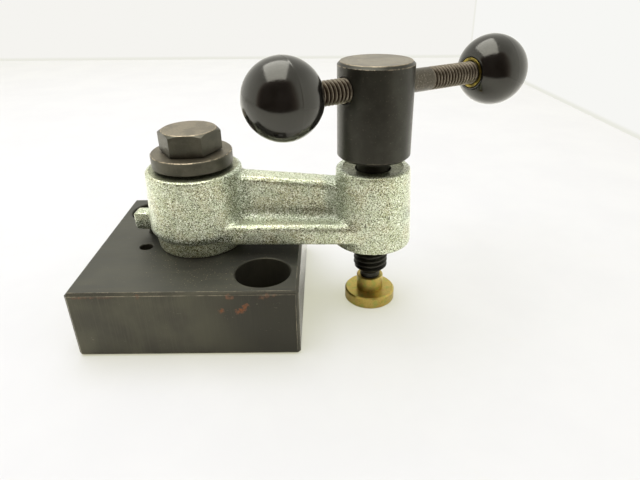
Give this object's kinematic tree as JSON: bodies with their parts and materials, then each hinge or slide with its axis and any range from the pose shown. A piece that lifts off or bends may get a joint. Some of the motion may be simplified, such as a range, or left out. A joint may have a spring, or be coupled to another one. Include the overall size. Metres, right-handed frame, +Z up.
{
  "type": "swing clamp",
  "caption": "Swing clamp with a rectangular steel base, a cast arm that swings against a stop pin, and a clamp screw with sliding T-handle, ball knobs and swivel pad",
  "frame": {"origin": "on the base block's underside, on the pivot axis, which is the block's centre", "axes": "+Z up along the pivot, +X towards the clamp screw along the block's front edge, +Y to the back"},
  "size_m": [0.1608, 0.0768, 0.0953],
  "materials": {
    "oxide_steel": "black oxide, satin",
    "plated_casting": "zinc plated over a rough casting",
    "gold_plated_steel": "yellow zinc plate",
    "spring_steel": "bright wire",
    "rod_steel": "oxidised, satin",
    "knob_plastic": "moulded, glossy",
    "insert_brass": "turned"
  },
  "bodies": {
    "base": {"base_block": "oxide_steel", "stop_pin": "oxide_steel", "pivot_sleeve": "oxide_steel", "pivot_washer": "oxide_steel", "pivot_bolt": "oxide_steel"},
    "arm": {"swing_arm": "plated_casting"},
    "pad": {"swivel_pad": "gold_plated_steel", "pad_ring": "spring_steel"},
    "screw": {"clamp_screw": "oxide_steel"},
    "handle": {"handle_rod": "rod_steel", "ball_knob_left": "knob_plastic", "ball_knob_right": "knob_plastic", "knob_insert_left": "insert_brass", "knob_insert_right": "insert_brass"}
  },
  "joints": [
    {"name": "arm_swing", "type": "hinge", "parent": "base", "child": "arm", "pos_m": [0, 0, 0.0254], "axis": [0, 0, 1], "range_deg": [0, 110.8]},
    {"name": "screw_advance", "type": "slide", "parent": "arm", "child": "pad", "axis": [0, 0, 1], "range_m": [-0.0011, 0.0157]},
    {"name": "screw_turn", "type": "hinge", "parent": "pad", "child": "screw", "pos_m": [0.06405, -0.00262, 0.06], "axis": [0, 0, 1], "range_deg": [-189, 2874]},
    {"name": "handle_slide", "type": "slide", "parent": "screw", "child": "handle", "axis": [0.8484, 0.5293, -0.0113], "range_m": [-0.029, 0.0093]}
  ],
  "couplings": [
    {"joint": "screw_advance", "follows": "screw_turn", "m_per_rad": 0.00031096}
  ]
}
